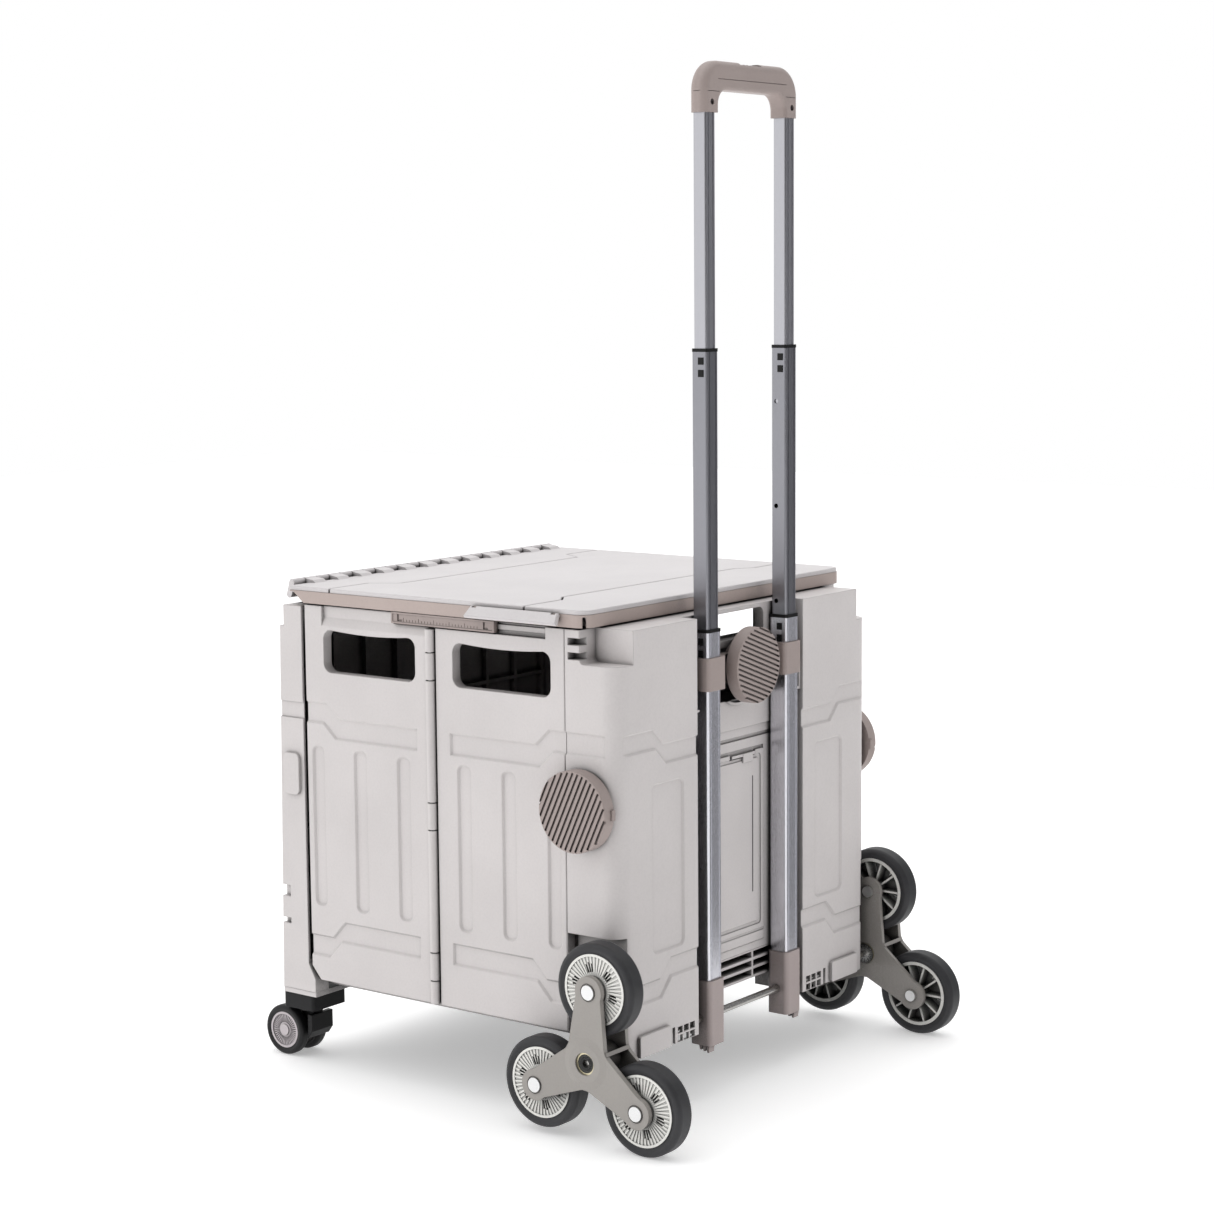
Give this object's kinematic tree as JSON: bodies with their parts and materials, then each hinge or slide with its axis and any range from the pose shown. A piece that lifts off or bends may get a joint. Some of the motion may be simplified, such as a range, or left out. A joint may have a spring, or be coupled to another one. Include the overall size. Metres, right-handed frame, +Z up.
{
  "type": "stair climbing trolley",
  "caption": "Folding crate trolley with hinged lid, telescoping pull handle, swivel casters in front and star-shaped wheel sets at the rear for climbing stairs.",
  "frame": {"origin": "on the floor under the centre of the bounding box", "axes": "+Z up; +Y towards the handle side (rear); +X the trolley's left side seen from behind its handle facing forward"},
  "size_m": [0.546, 0.5808, 1.03],
  "materials": {
    "boot_taupe": "moulded plastic, darker taupe",
    "caster_black": "moulded plastic, black",
    "caster_hub": "moulded plastic, pale pinkish grey",
    "hub_grey": "moulded plastic, light grey",
    "lid_white": "satin moulded plastic, pale pinkish white",
    "pin_steel": "plated, bright",
    "ring_black": "black plastic",
    "shell_white": "satin moulded plastic, warm off-white",
    "skirt_taupe": "satin moulded plastic, taupe",
    "spider_grey": "moulded plastic, warm grey",
    "steel": "plated",
    "trim_taupe": "fine-grained moulded plastic, taupe",
    "tube_silver": "satin anodised",
    "tyre_black": "matte solid tyre, black",
    "tyre_grey": "matte solid tyre, dark grey"
  },
  "bodies": {
    "rear_frame": {"corner_blocks": "shell_white", "rear_wall": "shell_white", "centre_cover": "shell_white", "rear_hinge_lugs": "shell_white", "floor_rail": "shell_white", "outer_tubes": "tube_silver", "outer_collars": "ring_black", "pole_boots": "boot_taupe", "clamp_bracket": "trim_taupe", "main_axle": "steel"},
    "middle_stage": {"middle_tubes": "tube_silver", "middle_collars": "ring_black"},
    "inner_stage": {"inner_tubes": "tube_silver", "handle_grip": "trim_taupe"},
    "grip_button": {"handle_button": "trim_taupe"},
    "pole_lock_knob": {"rear_knob": "trim_taupe"},
    "floor": {"floor_panel": "shell_white"},
    "front": {"front_wall": "shell_white", "front_base": "shell_white", "front_hinge_lugs": "shell_white", "caster_sockets": "caster_black"},
    "lid_strip": {"lid_hinge_strip": "lid_white"},
    "lid": {"lid_frame": "skirt_taupe", "lid_slat_front": "lid_white", "lid_slat_middle": "lid_white", "lid_slat_rear": "lid_white"},
    "rear_half_left": {"side_rear_left": "shell_white", "mid_pin_left": "steel"},
    "front_half_left": {"side_front_left": "shell_white"},
    "lock_slide_left": {"lock_bar_left": "trim_taupe"},
    "side_lock_knob_left": {"side_knob_left": "trim_taupe"},
    "lid_clasp_left": {"clasp_left": "lid_white"},
    "tri_wheel_left": {"spider_left": "spider_grey", "spider_pins_left": "pin_steel"},
    "swivel_left": {"caster_fork_left": "caster_black"},
    "caster_wheels_left": {"caster_tyres_left": "tyre_black", "caster_hubs_left": "caster_hub"},
    "stair_wheel_top_left": {"stair_tyre_top_left": "tyre_grey", "stair_hub_top_left": "hub_grey"},
    "stair_wheel_front_left": {"stair_tyre_front_left": "tyre_grey", "stair_hub_front_left": "hub_grey"},
    "stair_wheel_rear_left": {"stair_tyre_rear_left": "tyre_grey", "stair_hub_rear_left": "hub_grey"},
    "rear_half_right": {"side_rear_right": "shell_white", "mid_pin_right": "steel"},
    "front_half_right": {"side_front_right": "shell_white"},
    "lock_slide_right": {"lock_bar_right": "trim_taupe"},
    "side_lock_knob_right": {"side_knob_right": "trim_taupe"},
    "lid_clasp_right": {"clasp_right": "lid_white"},
    "tri_wheel_right": {"spider_right": "spider_grey", "spider_pins_right": "pin_steel"},
    "swivel_right": {"caster_fork_right": "caster_black"},
    "caster_wheels_right": {"caster_tyres_right": "tyre_black", "caster_hubs_right": "caster_hub"},
    "stair_wheel_top_right": {"stair_tyre_top_right": "tyre_grey", "stair_hub_top_right": "hub_grey"},
    "stair_wheel_front_right": {"stair_tyre_front_right": "tyre_grey", "stair_hub_front_right": "hub_grey"},
    "stair_wheel_rear_right": {"stair_tyre_rear_right": "tyre_grey", "stair_hub_rear_right": "hub_grey"}
  },
  "joints": [
    {"name": "fold", "type": "hinge", "parent": "rear_frame", "child": "rear_half_left", "pos_m": [0.214, 0.12065, 0.292], "axis": [0, 0, -1], "range_deg": [0, 88]},
    {"name": "fold_mid_left", "type": "hinge", "parent": "rear_half_left", "child": "front_half_left", "pos_m": [0.226, -0.03935, 0.292], "axis": [0, 0, 1], "range_deg": [0, 176]},
    {"name": "fold_front_left", "type": "hinge", "parent": "front_half_left", "child": "front", "pos_m": [0.214, -0.19935, 0.292], "axis": [0, 0, -1], "range_deg": [0, 88]},
    {"name": "fold_rear_right", "type": "hinge", "parent": "rear_frame", "child": "rear_half_right", "pos_m": [-0.214, 0.12065, 0.292], "axis": [0, 0, 1], "range_deg": [0, 88]},
    {"name": "fold_mid_right", "type": "hinge", "parent": "rear_half_right", "child": "front_half_right", "pos_m": [-0.226, -0.03935, 0.292], "axis": [0, 0, -1], "range_deg": [0, 176]},
    {"name": "lid_turn_over", "type": "hinge", "parent": "front", "child": "lid_strip", "pos_m": [0, -0.24135, 0.4975], "axis": [1, 0, 0], "range_deg": [0, 170]},
    {"name": "lid_open", "type": "hinge", "parent": "lid_strip", "child": "lid", "pos_m": [0, -0.23735, 0.5105], "axis": [1, 0, 0], "range_deg": [0, 95]},
    {"name": "floor_lift", "type": "hinge", "parent": "rear_frame", "child": "floor", "pos_m": [0, 0.12715, 0.088], "axis": [-1, 0, 0], "range_deg": [0, 90]},
    {"name": "middle_slide", "type": "slide", "parent": "rear_frame", "child": "middle_stage", "axis": [0, 0, 1], "range_m": [-0.245, 0]},
    {"name": "inner_slide", "type": "slide", "parent": "middle_stage", "child": "inner_stage", "axis": [0, 0, 1], "range_m": [-0.215, 0]},
    {"name": "button_press", "type": "slide", "parent": "inner_stage", "child": "grip_button", "axis": [0, 0, -1], "range_m": [0, 0.0035], "stiffness_N_per_m": 600, "springref_m": -0.0005},
    {"name": "rear_knob_turn", "type": "hinge", "parent": "rear_frame", "child": "pole_lock_knob", "pos_m": [0, 0.20065, 0.433], "axis": [0, 1, 0], "range_deg": [0, 90]},
    {"name": "side_knob_turn_left", "type": "hinge", "parent": "rear_frame", "child": "side_lock_knob_left", "pos_m": [0.235, 0.15165, 0.317], "axis": [1, 0, 0], "range_deg": [0, 90]},
    {"name": "lock_slide_left", "type": "slide", "parent": "rear_half_left", "child": "lock_slide_left", "axis": [0, 1, 0], "range_m": [0, 0.061]},
    {"name": "clasp_turn_left", "type": "hinge", "parent": "lid", "child": "lid_clasp_left", "pos_m": [0.2312, 0.07465, 0.5027], "axis": [0, -1, 0], "range_deg": [0, 100]},
    {"name": "tri_wheel_turn_left", "type": "hinge", "parent": "rear_frame", "child": "tri_wheel_left", "pos_m": [0.251, 0.18665, 0.08313], "axis": [1, 0, 0], "continuous": true},
    {"name": "top_wheel_spin_left", "type": "hinge", "parent": "tri_wheel_left", "child": "stair_wheel_top_left", "pos_m": [0.2515, 0.19031, 0.15303], "axis": [1, 0, 0], "continuous": true},
    {"name": "front_wheel_spin_left", "type": "hinge", "parent": "tri_wheel_left", "child": "stair_wheel_front_left", "pos_m": [0.2515, 0.12428, 0.05135], "axis": [1, 0, 0], "continuous": true},
    {"name": "rear_wheel_spin_left", "type": "hinge", "parent": "tri_wheel_left", "child": "stair_wheel_rear_left", "pos_m": [0.2515, 0.24535, 0.045], "axis": [1, 0, 0], "continuous": true},
    {"name": "caster_swivel_left", "type": "hinge", "parent": "front", "child": "swivel_left", "pos_m": [0.197, -0.23535, 0.055], "axis": [0, 0, 1], "continuous": true},
    {"name": "caster_roll_left", "type": "hinge", "parent": "swivel_left", "child": "caster_wheels_left", "pos_m": [0.197, -0.26335, 0.027], "axis": [1, 0, 0], "continuous": true},
    {"name": "side_knob_turn_right", "type": "hinge", "parent": "rear_frame", "child": "side_lock_knob_right", "pos_m": [-0.235, 0.15165, 0.317], "axis": [-1, 0, 0], "range_deg": [0, 90]},
    {"name": "lock_slide_right", "type": "slide", "parent": "rear_half_right", "child": "lock_slide_right", "axis": [0, 1, 0], "range_m": [0, 0.061]},
    {"name": "clasp_turn_right", "type": "hinge", "parent": "lid", "child": "lid_clasp_right", "pos_m": [-0.2312, 0.07465, 0.5027], "axis": [0, 1, 0], "range_deg": [0, 100]},
    {"name": "tri_wheel_turn_right", "type": "hinge", "parent": "rear_frame", "child": "tri_wheel_right", "pos_m": [-0.251, 0.18665, 0.08313], "axis": [1, 0, 0], "continuous": true},
    {"name": "top_wheel_spin_right", "type": "hinge", "parent": "tri_wheel_right", "child": "stair_wheel_top_right", "pos_m": [-0.2515, 0.19031, 0.15303], "axis": [1, 0, 0], "continuous": true},
    {"name": "front_wheel_spin_right", "type": "hinge", "parent": "tri_wheel_right", "child": "stair_wheel_front_right", "pos_m": [-0.2515, 0.12428, 0.05135], "axis": [1, 0, 0], "continuous": true},
    {"name": "rear_wheel_spin_right", "type": "hinge", "parent": "tri_wheel_right", "child": "stair_wheel_rear_right", "pos_m": [-0.2515, 0.24535, 0.045], "axis": [1, 0, 0], "continuous": true},
    {"name": "caster_swivel_right", "type": "hinge", "parent": "front", "child": "swivel_right", "pos_m": [-0.197, -0.23535, 0.055], "axis": [0, 0, 1], "continuous": true},
    {"name": "caster_roll_right", "type": "hinge", "parent": "swivel_right", "child": "caster_wheels_right", "pos_m": [-0.197, -0.26335, 0.027], "axis": [1, 0, 0], "continuous": true}
  ],
  "couplings": [
    {"joint": "fold_mid_left", "follows": "fold", "ratio": 2},
    {"joint": "fold_front_left", "follows": "fold", "ratio": 1},
    {"joint": "fold_rear_right", "follows": "fold", "ratio": 1},
    {"joint": "fold_mid_right", "follows": "fold", "ratio": 2},
    {"joint": "lid_turn_over", "follows": "fold", "ratio": 1.93}
  ]
}
